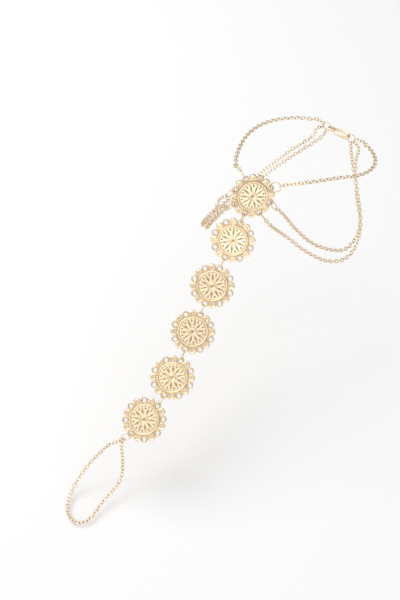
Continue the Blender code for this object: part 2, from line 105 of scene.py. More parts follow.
def buildGoldToneAndShade():
    # Painted shade, deeper in the recesses and dark on walls, with a slow drift of tone, and a
    # fine grain for bump
    group, start, end = newGroup("goldToneAndPaintedShade", [
        ("Bright", "NodeSocketColor", (0.9, 0.7, 0.45, 1)),
        ("Shade Colour", "NodeSocketColor", (0.3, 0.15, 0.05, 1)),
        ("Wall Shade Colour", "NodeSocketColor", (0.1, 0.05, 0.02, 1)),
        ("Rosy", "NodeSocketColor", (0.9, 0.6, 0.4, 1)),
        ("Painted Shade", "NodeSocketFloat", 0),
        ("Grain Scale", "NodeSocketFloat", 3000),
        ("Drift Scale", "NodeSocketFloat", 60),
        ("Smooth", "NodeSocketFloat", 0.2),
        ("Rough", "NodeSocketFloat", 0.4),
    ], [
        ("Color", "NodeSocketColor"), ("Roughness", "NodeSocketFloat"),
        ("Height", "NodeSocketFloat"),
    ])
    nodes, links = group.nodes, group.links
    place = nodes.new("ShaderNodeTexCoord")
    drift = nodes.new("ShaderNodeTexNoise")
    drift.inputs["Detail"].default_value = toneGrainShadeLook["driftDetail"]
    links.new(place.outputs["Object"], drift.inputs["Vector"])
    links.new(start.outputs["Drift Scale"], drift.inputs["Scale"])
    grain = nodes.new("ShaderNodeTexNoise")
    grain.inputs["Detail"].default_value = toneGrainShadeLook["grainDetail"]
    grain.inputs["Roughness"].default_value = toneGrainShadeLook["grainRoughness"]
    links.new(place.outputs["Object"], grain.inputs["Vector"])
    links.new(start.outputs["Grain Scale"], grain.inputs["Scale"])

    driftMask = nodes.new("ShaderNodeMapRange")
    driftMask.inputs["From Min"].default_value = toneGrainShadeLook["driftFrom"]
    driftMask.inputs["From Max"].default_value = toneGrainShadeLook["driftTo"]
    driftMask.inputs["To Max"].default_value = toneGrainShadeLook["driftMost"]
    links.new(drift.outputs["Fac"], driftMask.inputs["Value"])
    tone = nodes.new("ShaderNodeMix")
    tone.data_type = "RGBA"
    links.new(driftMask.outputs["Result"], tone.inputs["Factor"])
    links.new(start.outputs["Bright"], tone.inputs["A"])
    links.new(start.outputs["Rosy"], tone.inputs["B"])

    # The painted shade's edge is broken up by the grain
    broken = nodes.new("ShaderNodeMath")
    broken.operation = "MULTIPLY_ADD"
    broken.inputs[1].default_value = toneGrainShadeLook["brokenBy"]
    broken.inputs[2].default_value = toneGrainShadeLook["brokenBase"]
    links.new(grain.outputs["Fac"], broken.inputs[0])
    shadeMask = nodes.new("ShaderNodeMath")
    shadeMask.operation = "MULTIPLY"
    shadeMask.use_clamp = True
    links.new(start.outputs["Painted Shade"], shadeMask.inputs[0])
    links.new(broken.outputs["Value"], shadeMask.inputs[1])
    # Painted shade: the drifting tone darkens toward the shade colour as the mask grows
    color = nodes.new("ShaderNodeMix")
    color.data_type = "RGBA"
    links.new(shadeMask.outputs["Value"], color.inputs["Factor"])
    links.new(tone.outputs["Result"], color.inputs["A"])
    links.new(start.outputs["Shade Colour"], color.inputs["B"])
    # Painted shade above one marks a wall that light hardly reaches, painted dark
    wallShadeMask = nodes.new("ShaderNodeMapRange")
    wallShadeMask.inputs["From Min"].default_value = toneGrainShadeLook["wallFrom"]
    wallShadeMask.inputs["From Max"].default_value = toneGrainShadeLook["wallTo"]
    links.new(start.outputs["Painted Shade"], wallShadeMask.inputs["Value"])
    wallShaded = nodes.new("ShaderNodeMix")
    wallShaded.data_type = "RGBA"
    links.new(wallShadeMask.outputs["Result"], wallShaded.inputs["Factor"])
    links.new(color.outputs["Result"], wallShaded.inputs["A"])
    links.new(start.outputs["Wall Shade Colour"], wallShaded.inputs["B"])
    links.new(wallShaded.outputs["Result"], end.inputs["Color"])

    rub = nodes.new("ShaderNodeMath")
    rub.operation = "MULTIPLY_ADD"
    rub.inputs[1].default_value = toneGrainShadeLook["grainRub"]
    links.new(grain.outputs["Fac"], rub.inputs[0])
    links.new(shadeMask.outputs["Value"], rub.inputs[2])
    rough = nodes.new("ShaderNodeMapRange")
    links.new(rub.outputs["Value"], rough.inputs["Value"])
    links.new(start.outputs["Smooth"], rough.inputs["To Min"])
    links.new(start.outputs["Rough"], rough.inputs["To Max"])
    links.new(rough.outputs["Result"], end.inputs["Roughness"])
    links.new(grain.outputs["Fac"], end.inputs["Height"])
    return group


def goldMaterial(name, toneShadeGroup, look):
    material = bpy.data.materials.new(name)
    material.use_nodes = True
    nodes, links = material.node_tree.nodes, material.node_tree.links
    shader = nodes["Principled BSDF"]
    shader.inputs["Metallic"].default_value = 1
    toneAndShade = nodes.new("ShaderNodeGroup")
    toneAndShade.node_tree = toneShadeGroup
    for label, value in look["toneAndShade"].items():
        toneAndShade.inputs[label].default_value = value
    # The amount of painted shade comes from the mesh's attribute
    paintedShade = nodes.new("ShaderNodeAttribute")
    paintedShade.attribute_name = "paintedShade"
    links.new(paintedShade.outputs["Fac"], toneAndShade.inputs["Painted Shade"])
    bump = nodes.new("ShaderNodeBump")
    bump.inputs["Strength"].default_value = look["bumpStrength"]
    bump.inputs["Distance"].default_value = look["bumpDepth"] * mm
    links.new(toneAndShade.outputs["Height"], bump.inputs["Height"])
    links.new(toneAndShade.outputs["Color"], shader.inputs["Base Color"])
    links.new(toneAndShade.outputs["Roughness"], shader.inputs["Roughness"])
    links.new(bump.outputs["Normal"], shader.inputs["Normal"])
    return material


# Shade Colour and Wall Shade Colour are painted shade for recesses and walls
castLook = {
    "toneAndShade": {
        "Bright": (0.975, 0.83, 0.605, 1), "Rosy": (0.98, 0.81, 0.59, 1),
        "Shade Colour": (0.47, 0.32, 0.18, 1), "Wall Shade Colour": (0.2, 0.11, 0.045, 1),
        "Grain Scale": 2600, "Drift Scale": 90,
        "Smooth": 0.15, "Rough": 0.34,
    },
    "bumpStrength": 0.5, "bumpDepth": 0.04,
}
# The wire's gold, with its own painted shade colours
wireLook = {
    "toneAndShade": {
        "Bright": (0.92, 0.755, 0.52, 1), "Rosy": (0.92, 0.72, 0.49, 1),
        "Shade Colour": (0.36, 0.2, 0.085, 1), "Wall Shade Colour": (0.2, 0.11, 0.045, 1),
        "Grain Scale": 1400, "Drift Scale": 70,
        "Smooth": 0.2, "Rough": 0.42,
    },
    "bumpStrength": 0.2, "bumpDepth": 0.02,
}

toneShadeGroup = buildGoldToneAndShade()
castGold = goldMaterial("castGold", toneShadeGroup, castLook)
wireGold = goldMaterial("wireGold", toneShadeGroup, wireLook)
print("gold made")


# A medallion, in millimetres until its mesh is written: sixteen petals on the rim, and ten
# forked spokes between leaf-shaped hollows on the disc
medallion = {
    "pairs": 8,                                  # pierced and cupped petals in turn
    "piercedCentre": 9.3, "piercedRadius": 1.7, "holeRadius": 0.93,
    "holeWallLevel": 0.5, "holeChamfer": 0.1,    # the hole's wall, and its edge on the back
    "cupCentre": 9.05, "cupRadius": 1.95,
    "backEdge": 0.14, "backDepth": 0.5,          # the back's bevel, and how far it lies behind
    "gapFloor": 0.7, "shelf": 0.1,               # round the disc, and under the petals' rims
    "shelfOut": 0.04, "seam": 0.02,
    "rimLine": 1.31, "rimHalfWidth": 0.38, "rimCrest": 1.04,
    # The cupped petal, where limits are measured out from its centre
    "cupLine": 1.25, "cupHalfWidth": 0.43, "cupShoulder": 0.25, "cupCrest": 1.4,
    "cupArmSlope": -0.15, "cupArm": 0.7, "cupArmLimits": (-0.9, 0.7),
    "cupRimLimits": (-1.5, -1.1), "cupFloor": 0.77, "cupFloorLimits": (-1.4, -0.9),
    "cupEdge": 0.72, "cupEdgeLimits": (-1.0, -0.5),
    "cupBead": 0.22, "cupBeadRise": 0.2, "cupBeadOut": 0.05,
    "discRadius": 7.55, "trackLevel": 1.05, "trackHalfWidth": 0.6,
    "beads": 36, "beadLine": 7.1, "beadRadius": 0.46, "beadLevel": 1.08,
    "ringHalfWidth": 0.4, "ringRise": 0.3,       # a plain ring under the beads
    "spokes": 10, "spokeStart": 2.12, "spokeEdge": 0.26, "spokeRise": 0.46, "dome": 0.12,
    "knobLine": 5.78, "knobRadius": 0.66,        # two where each spoke forks
    "floor": 0.92, "floorRise": 0.09, "floorReach": 1.7, "floorLimits": (5.9, 6.4),
    "veinHalfWidth": 0.13, "veinRise": 0.05, "veinStart": (2.7, 3.3), "veinEnd": (5.3, 4.5),
    "arcadeLine": 5.98, "arcadeHalfWidth": 0.3, "arcadeLevel": 1.1,
    "pipLine": 4.9, "pipRadius": 0.26, "pipLevel": 1.12,
    "leaf": {"start": 2.2, "wide": 4.05, "end": 6.5, "half": 0.31, "swell": 1.3,
             "taper": 2.3},
    "pit": {"start": 4.9, "wide": 5.4, "end": 5.95, "half": 0.31, "swell": 0.7,
            "taper": 1.8},
    "pitDepth": 0.07, "pitReach": 0.5,
    "bossLine": 1.5, "bossHalfWidth": 0.42, "bossCrest": 1.46, "bossFloor": 1.1,
    "dimpleStart": -0.2, "dimpleRadius": 1.15, "dimpleFloor": 0.9,
}

# How much painted shade each surface gets: darker toward the recesses between the levels given,
# all over on the hole's lip, dark on the hole's wall, lighter on the outer wall, back and beads'
# lower halves
medallionShade = {
    "rim": 0.5, "rimLevels": (0.96, 0.7), "discLevels": (1.16, 0.95), "lip": 0.5,
    "holeWall": 2, "holeEdge": 0.6, "outerWall": 0.1, "back": 0.2, "beadBase": 0.8,
}

# Where the rows of the medallion's mesh lie, and how many steps run along them
medallionRows = {
    "holeSteps": 16, "cupSteps": 20, "sideSteps": 7, "piercedArcSteps": 30, "cupArcSteps": 32,
    "lipRises": (0, 0.04, 0.09, 0.16, 0.24, 0.32, 0.4, 0.48, 0.56, 0.63, 0.69, 0.73),
    "piercedShares": (0.4, 0.7, 1),
    "cupShares": (0.06, 0.11, 0.15, 0.2, 0.27, 0.34, 0.39, 0.44, 0.5, 0.56, 0.62, 0.68, 0.74,
                  0.79, 0.83, 0.86, 0.9, 0.95, 1),
    "wallShares": (0.5, 0),
    "trackRadii": (7.54, 7.52, 7.49, 7.45, 7.41, 7.36, 7.29, 7.2, 7.1, 7.0, 6.91, 6.84, 6.79,
                   6.74, 6.65, 6.55, 6.45, 6.37),
    "spokeStep": 0.095, "spokeEnd": 2.1,
    "bossRadii": (1.97, 1.9, 1.8, 1.7, 1.58, 1.46, 1.34, 1.22, 1.12, 1.03, 0.96, 0.9, 0.82,
                  0.7, 0.55, 0.4, 0.2),
    "edgeLevels": (0.84, 0.96, 1.02),            # the disc's edge, above the gap's floor
    "backRadii": (5, 2.5), "beadLifts": (-35, -5, 20, 45, 68), "beadSides": 12,
    "onEdge": 1e-4, "weld": 0.002, "sliver": 0.001,
}


def hollowHalfWidth(shape, along):
    if along <= shape["start"] or along >= shape["end"]:
        return 0
    if along < shape["wide"]:
        share = (along - shape["start"]) / (shape["wide"] - shape["start"])
        return shape["half"] * math.sin(share * math.pi / 2) ** shape["swell"]
    share = (along - shape["wide"]) / (shape["end"] - shape["wide"])
    return shape["half"] * (1 - share ** shape["taper"])


def outsideHollow(shape, radius, angle):
    # How far outside a pointed hollow's outline a point lies, less than nothing inside it
    along, across = radius * math.cos(angle), abs(radius * math.sin(angle))
    if along >= shape["end"]:
        return math.hypot(along - shape["end"], across)
    if along <= shape["start"]:
        return math.hypot(along - shape["start"], across)
    step = 0.02                                  # over which the outline's slope is taken
    slope = (hollowHalfWidth(shape, along + step)
             - hollowHalfWidth(shape, along - step)) / (2 * step)
    return (across - hollowHalfWidth(shape, along)) / math.sqrt(1 + slope * slope)


def roundShoulder(inside, width):
    share = 1 - min(max(inside / width, 0), 1)
    return (1 - share * share) ** roundPower


def discRelief(radius, angle):
    m = medallion
    if radius < m["spokeStart"]:
        bowl = smoothStep(m["dimpleStart"], m["dimpleRadius"], radius)
        inner = m["dimpleFloor"] + (m["bossFloor"] - m["dimpleFloor"]) * bowl
        crest = (m["bossCrest"] - m["bossFloor"]) * roundTop(radius - m["bossLine"],
                                                             m["bossHalfWidth"])
        return inner + crest
    if radius > m["beadLine"] - m["trackHalfWidth"]:
        return m["trackLevel"] + m["ringRise"] * roundTop(radius - m["beadLine"],
                                                          m["ringHalfWidth"])
    turn = 2 * math.pi / m["spokes"]
    fromSpoke = (angle + turn / 2) % turn - turn / 2
    fromLeaf = turn / 2 - abs(fromSpoke)
    fromKnob = abs(abs(fromSpoke) - turn / 4)
    inside = min(outsideHollow(m["leaf"], radius, fromLeaf),
                 outsideHollow(m["pit"], radius, fromSpoke), radius - m["spokeStart"])
    along = radius * math.cos(fromKnob) - m["knobLine"]
    if along > 0:
        inside = min(inside, m["knobRadius"] - math.hypot(along, radius * math.sin(fromKnob)))
    # The ground is deepest half way out, and meets the bead track
    fromWide = abs(radius - m["leaf"]["wide"])
    floor = m["floor"] + m["floorRise"] * min(1, fromWide / m["floorReach"])
    fromPit = math.hypot(radius - m["pit"]["wide"], radius * fromSpoke)
    floor -= m["pitDepth"] * smoothStep(m["pitReach"], 0, fromPit)
    floor += (m["trackLevel"] - floor) * smoothStep(*m["floorLimits"], radius)
    crest = m["floor"] + m["spokeRise"] + m["dome"] * (1 - (radius / m["knobLine"]) ** 2)
    arcade = (m["arcadeLevel"] - floor) * roundTop(radius - m["arcadeLine"], m["arcadeHalfWidth"])
    if inside > 0:
        return floor + max(arcade, (crest - floor) * roundShoulder(inside, m["spokeEdge"]))
    vein = m["veinRise"] * roundTop(radius * math.sin(fromLeaf), m["veinHalfWidth"])
    vein *= smoothStep(*m["veinStart"], radius) * smoothStep(*m["veinEnd"], radius)
    fromPip = math.hypot(radius * math.cos(fromLeaf) - m["pipLine"], radius * math.sin(fromLeaf))
    pip = (m["pipLevel"] - floor) * roundTop(fromPip, m["pipRadius"])
    return floor + max(vein, pip, arcade)


def petalRelief(x, y):
    # The pierced petal's lip, then the cupped petal's thick open rim and its floor
    m = medallion
    turn = 2 * math.pi / m["pairs"]
    radius, angle = math.hypot(x, y), math.atan2(y, x)
    fromHole = (angle + turn / 2) % turn - turn / 2
    out = radius * math.cos(fromHole) - m["piercedCentre"]
    reach = math.hypot(out, radius * math.sin(fromHole))
    rise = m["shelf"] * smoothStep(m["piercedRadius"] + m["shelfOut"],
                                   m["piercedRadius"] - m["seam"], reach)
    lip = m["rimCrest"] - m["gapFloor"] - m["shelf"]
    rise += lip * roundTop(reach - m["rimLine"], m["rimHalfWidth"])
    fromCup = angle % turn - turn / 2
    out = radius * math.cos(fromCup) - m["cupCentre"]
    side = abs(radius * math.sin(fromCup))
    if out > 0:
        offset = math.hypot(out, side) - m["cupLine"]
    else:
        offset = side - (m["cupLine"] + m["cupArmSlope"] * out)
    # The arms are narrower than the crescent at the petal's end
    share = m["cupArm"] + (1 - m["cupArm"]) * smoothStep(*m["cupArmLimits"], out)
    if offset < 0:
        cup = roundShoulder(m["cupHalfWidth"] * share + offset, m["cupShoulder"] * share)
    else:
        cup = roundTop(offset, m["cupEdge"] * share)
    cup *= m["cupCrest"] - m["gapFloor"]
    cup *= smoothStep(*m["cupRimLimits"], out)
    floor = m["cupFloor"] - m["gapFloor"]
    if offset < 0:
        bead = m["cupBeadRise"] * roundTop(math.hypot(out - m["cupBeadOut"], side),
                                           m["cupBead"])
        cup = max(cup, floor * smoothStep(*m["cupFloorLimits"], out) + bead)
    elif math.hypot(max(out, 0), side) < m["cupRadius"] + m["seam"]:
        cup = max(cup, floor * smoothStep(*m["cupEdgeLimits"], out))
    return m["gapFloor"] + max(rise, cup)


def relief(point):
    radius = math.hypot(point.x, point.y)
    if radius > medallion["discRadius"] - medallion["seam"]:
        return petalRelief(point.x, point.y)
    return discRelief(radius, math.atan2(point.y, point.x))


def circlesMeet(centreA, radiusA, centreB, radiusB):
    apart = centreB - centreA
    along = (apart.length ** 2 + radiusA ** 2 - radiusB ** 2) / (2 * apart.length)
    across = math.sqrt(radiusA ** 2 - along ** 2)
    side = Vector((apart.y, -apart.x, 0)).normalized() * across
    middle = centreA + apart.normalized() * along
    return max(middle + side, middle - side, key=lambda point: point.length)


def arcPoints(centre, start, end, count):
    first = math.atan2(start.y - centre.y, start.x - centre.x)
    sweep = (math.atan2(end.y - centre.y, end.x - centre.x) - first) % (2 * math.pi)
    radius = (start - centre).length
    return [centre + polar(radius, first + sweep * step / count) for step in range(count)]


def linePoints(start, end, count):
    return [start.lerp(end, step / count) for step in range(count)]


def quadRows(bm, rows, closed):
    for lower, upper in zip(rows, rows[1:]):
        count = len(lower)
        for index in range(count if closed else count - 1):
            following = (index + 1) % count
            bm.faces.new((lower[index], lower[following], upper[following], upper[index]))


def fan(bm, row, middle):
    for index in range(len(row)):
        bm.faces.new((row[index], row[(index + 1) % len(row)], middle))


def medallionMesh():
    m, toneAndShade, rowsAt = medallion, medallionShade, medallionRows
    bm = bmesh.new()
    shadeLayer = bm.verts.layers.float.new("paintedShade")
    # The back gets a light painted shade
    back = toneAndShade["back"]

    def vertex(point, height=None, paintedShade=None):
        made = bm.verts.new((point.x, point.y, relief(point) if height is None else height))
        # Painted shade grows as the surface sinks toward the recesses, on the rim and on the disc
        if paintedShade is None and point.length > m["discRadius"] - m["seam"]:
            paintedShade = toneAndShade["rim"] * smoothStep(*toneAndShade["rimLevels"], made.co.z)
        elif paintedShade is None:
            paintedShade = smoothStep(*toneAndShade["discLevels"], made.co.z)
        made[shadeLayer] = paintedShade
        return made

    half = math.pi / m["pairs"]
    holeCentre = polar(m["piercedCentre"], 0)
    cupCentre = polar(m["cupCentre"], half)
    valley = circlesMeet(holeCentre, m["piercedRadius"], cupCentre, m["cupRadius"])
    valleyAngle = math.atan2(valley.y, valley.x)
    corners = [polar(valley.length, angle)
               for angle in (-valleyAngle, valleyAngle, 2 * half - valleyAngle)]
    bases = [corner.normalized() * m["discRadius"] for corner in corners]
    origin = Vector()
    backScale = 1 - m["backEdge"] / valley.length

    def edgedBack(boundary, centre, radius):
        # The back's outline, drawn in a little along the petal's own edge
        return [vertex(point * (backScale if abs((point - centre).length - radius)
                                < rowsAt["onEdge"] else 1), 0, back) for point in boundary]

    # The pierced petal, from its hole out to the petal's edge
    sideSteps = rowsAt["sideSteps"]
    outerArc = arcPoints(holeCentre, corners[0], corners[1], rowsAt["piercedArcSteps"])
    innerArc = arcPoints(origin, bases[0], bases[1], rowsAt["holeSteps"])
    boundary = (outerArc + linePoints(corners[1], bases[1], sideSteps)
                + list(reversed(innerArc + [bases[1]]))[:-1]
                + linePoints(bases[0], corners[0], sideSteps))
    holeRadius = m["holeRadius"]
    lipRadii = [holeRadius + rise for rise in rowsAt["lipRises"]]
    rows = []
    # The hole's lip takes an even painted shade all over
    for radius in lipRadii:
        rows.append([vertex(holeCentre + (point - holeCentre).normalized() * radius, None,
                            toneAndShade["lip"]) for point in boundary])
    for share in rowsAt["piercedShares"]:
        rows.append([vertex(holeCentre + (point - holeCentre) * (
            share + (1 - share) * lipRadii[-1] / (point - holeCentre).length))
            for point in boundary])
    quadRows(bm, rows, True)
    wall = [rows[0]]
    # The hole's wall is painted dark as deep shade, its back edge painted shade
    for radius, height in ((holeRadius, m["holeWallLevel"]), (holeRadius, m["backEdge"]),
                           (holeRadius + m["holeChamfer"], 0)):
        wall.append([vertex(holeCentre + (point - holeCentre).normalized() * radius, height,
                            toneAndShade["holeWall"] if height else toneAndShade["holeEdge"])
                     for point in boundary])
    wall.append(edgedBack(boundary, holeCentre, m["piercedRadius"]))
    quadRows(bm, wall, True)
    edges = [outerArc + [corners[1]]]

    # The cupped petal, from its bead out to its edge
    outerArc = arcPoints(cupCentre, corners[1], corners[2], rowsAt["cupArcSteps"])
    innerArc = arcPoints(origin, bases[1], bases[2], rowsAt["cupSteps"])
    boundary = (outerArc + linePoints(corners[2], bases[2], sideSteps)
                + list(reversed(innerArc + [bases[2]]))[:-1]
                + linePoints(bases[1], corners[1], sideSteps))
    rows = []
    for share in rowsAt["cupShares"]:
        rows.append([vertex(cupCentre.lerp(point, share)) for point in boundary])
    quadRows(bm, rows, True)
    fan(bm, rows[0], vertex(cupCentre))
    fan(bm, edgedBack(boundary, cupCentre, m["cupRadius"]), vertex(cupCentre, 0, back))
    edges.append(outerArc + [corners[2]])

    # Outer wall of both petals, with a light painted shade
    for line in edges:
        top = [vertex(point) for point in line]
        wall = [top]
        for share in rowsAt["wallShares"]:
            wall.append([vertex(point, m["backEdge"] + share * (above.co.z - m["backEdge"]),
                                toneAndShade["outerWall"]) for point, above in zip(line, top)])
        wall.append([vertex(point * backScale, 0, back) for point in line])
        quadRows(bm, wall, False)

    # Eight such wedges make the rim
    wedge = list(bm.verts) + list(bm.edges) + list(bm.faces)
    for step in range(1, m["pairs"]):
        copy = bmesh.ops.duplicate(bm, geom=wedge)
        turned = [item for item in copy["geom"] if isinstance(item, bmesh.types.BMVert)]
        bmesh.ops.rotate(bm, verts=turned, cent=(0, 0, 0),
                         matrix=Matrix.Rotation(2 * half * step, 3, "Z"))

    # The disc, in rings from its edge to the middle
    base = (arcPoints(origin, bases[0], bases[1], rowsAt["holeSteps"])
            + arcPoints(origin, bases[1], bases[2], rowsAt["cupSteps"]))
    angles = [math.atan2(point.y, point.x) + 2 * half * step
              for step in range(m["pairs"]) for point in base]
    radii = [m["discRadius"], *rowsAt["trackRadii"]]
    while radii[-1] > rowsAt["spokeEnd"]:
        radii.append(radii[-1] - rowsAt["spokeStep"])
    radii += rowsAt["bossRadii"]
    rows = [[vertex(polar(radius, angle)) for angle in angles] for radius in radii]
    for row, height in zip(rows, (m["gapFloor"], *rowsAt["edgeLevels"])):
        for made in row:
            made.co.z = height
    quadRows(bm, rows, True)
    fan(bm, rows[-1], vertex(origin))
    backRows = [[vertex(polar(radius, angle), 0, back) for angle in angles]
                for radius in (m["discRadius"], *rowsAt["backRadii"])]
    quadRows(bm, backRows, True)
    fan(bm, backRows[-1], vertex(origin, 0, back))
    bmesh.ops.remove_doubles(bm, verts=bm.verts, dist=rowsAt["weld"])
    bmesh.ops.dissolve_degenerate(bm, edges=bm.edges, dist=rowsAt["sliver"])

    # The row of beads round the disc's edge, painted shade on their lower halves
    sides = rowsAt["beadSides"]
    for index in range(m["beads"]):
        centre = polar(m["beadLine"], 2 * math.pi * index / m["beads"])
        rings = []
        for lift in map(math.radians, rowsAt["beadLifts"]):
            rings.append([vertex(centre + polar(m["beadRadius"] * math.cos(lift),
                                                2 * math.pi * side / sides),
                                 m["beadLevel"] + m["beadRadius"] * math.sin(lift),
                                 toneAndShade["beadBase"] if lift < 0 else 0)
                          for side in range(sides)])
        quadRows(bm, rings, True)
        bm.faces.new(reversed(rings[0]))
        top = vertex(centre, m["beadLevel"] + m["beadRadius"], 0)
        fan(bm, rings[-1], top)
    bmesh.ops.recalc_face_normals(bm, faces=bm.faces)
    mesh = bpy.data.meshes.new("medallion")
    bmesh.ops.scale(bm, verts=bm.verts, vec=(mm, mm, mm))
    bm.to_mesh(mesh)
    bm.free()
    return mesh


# Middle of each medallion, the way it looks in degrees round from the front and up from level,
# the turn of its lower hole from the steepest way down, and how many eighths the hole that
# lines up with a spoke lies further round
medallionPlaces = [
    {"centre": (-2.6, -36.9, 6.3), "around": 46, "up": 21, "turn": -23.5, "eighths": 2},
    {"centre": (-3.234, -49.461, -14.172), "around": 25, "up": 35, "turn": -14, "eighths": 0},
    {"centre": (-1.69, -66.397, -31.417), "around": 29, "up": 48, "turn": -14.5, "eighths": 0},
    {"centre": (2.11, -86.02, -45.128), "around": 35, "up": 61, "turn": -20, "eighths": -1},
    {"centre": (6.275, -106.738, -57.187), "around": 21, "up": 60, "turn": -10, "eighths": 0},
    {"centre": (5.78, -127.184, -69.785), "around": 9, "up": 53, "turn": -20, "eighths": 0},
]


def medallionMatrix(row):
    around, up = math.radians(row["around"]), math.radians(row["up"])
    normal = Vector((math.sin(around) * math.cos(up), -math.cos(around) * math.cos(up),
                     math.sin(up)))
    downhill = squareTo(Vector((0, 0, -1)), normal)
    turn = math.radians(row["turn"] + 360 / medallion["pairs"] * row["eighths"])
    lower = Matrix.Rotation(turn, 3, normal) @ downhill
    back = Vector(row["centre"]) * mm - normal * medallion["backDepth"] * mm
    return axesMatrix(lower, normal, back)


medallionShape = medallionMesh()
for number, row in enumerate(medallionPlaces, 1):
    addPiece(f"reliefMedallion{number}", medallionShape.copy(), castGold, f"medallion_{number}",
             medallionMatrix(row))
print("medallions:", len(medallionShape.polygons), "faces each")


jumpRing = {
    "radius": 2.55, "wire": 0.3, "steps": 56, "sides": 12,
    "cut": 1.2, "firstCut": 70, "cutStep": 37, "cutPlaces": 4,   # in degrees, but for the last
}

# Middle, the way from the hole that it hangs in, and the way square to its plane
ringPlaces = {
    "link_ring_1_2": ((-3.187, -42.764, -4.257), (-0.0779, -0.3664, -0.9272),
                      (-0.8537, -0.4559, 0.2519)),
    "link_ring_2_3": ((-3.014, -57.206, -23.473), (0.0263, -0.7542, -0.6561),
                      (-0.9413, -0.2397, 0.2377)),
    "link_ring_3_4": ((-0.081, -75.662, -39.217), (0.1387, -0.7865, -0.6018),
                      (-0.9399, -0.296, 0.1703)),
    "link_ring_4_5": ((4.421, -96.423, -50.976), (0.1843, -0.7982, -0.5736),
                      (-0.9502, -0.2939, 0.1037)),
    "link_ring_5_6": ((7.782, -117.294, -63.15), (0.0462, -0.8817, -0.4695),
                      (-0.9899, -0.1033, 0.0967)),
    "ankle_ring_right": ((4.18, -27.952, 9.789), (0.6551, 0.7457, 0.1219),
                         (-0.1664, 0.2997, -0.9394)),
    "ankle_ring_left": ((-9.208, -36.93, 15.856), (-0.889, 0.3916, 0.2371),
                        (0.4576, 0.7434, 0.4878)),
    "swag_ring_right_upper": ((6.127, -30.789, 1.005), (0.544, 0.4343, -0.718),
                              (-0.5618, -0.4471, -0.6961)),
    "swag_ring_right_lower": ((3.84, -35.897, -3.952), (0.5013, 0.3494, -0.7916),
                              (-0.3942, -0.7222, -0.5683)),
    "swag_ring_left_upper": ((-10.76, -44.097, 8.102), (-0.6103, -0.4607, -0.6444),
                             (-0.6204, -0.2278, 0.7505)),
    "swag_ring_left_lower": ((-9.406, -45.027, 1.575), (-0.7953, 0.0229, -0.6057),
                             (-0.5984, -0.1894, 0.7785)),
    "end_ring_right": ((7.4, 38.6, 0), (1, 0, 0), (0, -1, 0)),
    "end_ring_left": ((-7.4, 38.6, 0), (-1, 0, 0), (0, 1, 0)),
    "toe_ring": ((2.526, -136.441, -76.499), (-0.4539, -0.4934, -0.742),
                 (-0.778, 0.6255, 0.06)),
}


def sweepWire(bm, centres, outwards, wireRadius, sides, closed, paintedShades=None):
    # A round wire along flat centres, given the way outward at each, and painted shade for each
    # row where given
    layer = bm.verts.layers.float.get("paintedShade") or bm.verts.layers.float.new("paintedShade")
    rows = []
    up = Vector((0, 0, 1))
    for index, (centre, outward) in enumerate(zip(centres, outwards)):
        row = []
        for side in range(sides):
            angle = 2 * math.pi * side / sides
            offset = outward * math.cos(angle) + up * math.sin(angle)
            made = bm.verts.new(centre + offset * wireRadius)
            made[layer] = paintedShades[index] if paintedShades else 0
            row.append(made)
        rows.append(row)
    if closed:
        rows.append(rows[0])
    quadRows(bm, rows, True)
    if not closed:
        bm.faces.new(rows[0])
        bm.faces.new(rows[-1])


def ringMesh(cutAngle):
    r = jumpRing
    gap = math.radians(r["cut"])
    sweep = 2 * math.pi - gap
    angles = [cutAngle + gap / 2 + sweep * step / r["steps"] for step in range(r["steps"] + 1)]
    bm = bmesh.new()
    sweepWire(bm, [polar(r["radius"], angle) for angle in angles],
              [polar(1, angle) for angle in angles], r["wire"], r["sides"], False)
    bmesh.ops.recalc_face_normals(bm, faces=bm.faces)
    bmesh.ops.scale(bm, verts=bm.verts, vec=(mm, mm, mm))
    mesh = bpy.data.meshes.new("jumpRing")
    bm.to_mesh(mesh)
    bm.free()
    return mesh


ringFrames = {}
for index, (name, (place, along, across)) in enumerate(ringPlaces.items()):
    xAxis = Vector(along).normalized()
    zAxis = squareTo(Vector(across), xAxis)
    ringFrames[name] = axesMatrix(xAxis, zAxis, Vector(place) * mm)
    cutAngle = math.radians(jumpRing["firstCut"]
                            + jumpRing["cutStep"] * (index % jumpRing["cutPlaces"]))
    addPiece("round" + name.title().replace("_", ""), ringMesh(cutAngle), wireGold, name,
             ringFrames[name])
print("jump rings:", len(ringFrames))


chainLink = {
    "halfLength": 1.15, "halfWidth": 0.88, "wire": 0.22, "pitch": 1.85, "squareness": 0.86,
    "steps": 20, "sides": 8, "jitter": 5, "hookGap": 0.02, "routeSteps": 24,
    "shadeFrom": 0.75, "shadeMost": 0.35,          # the links' ends, painted shade where each link passes through the next
    "leanFrom": 0.03, "leanTo": 0.16,            # shares of a chain in which its lean begins
}
ankleLead, toeLead = 3.6, 3.0                    # how far a chain runs straight off its ring

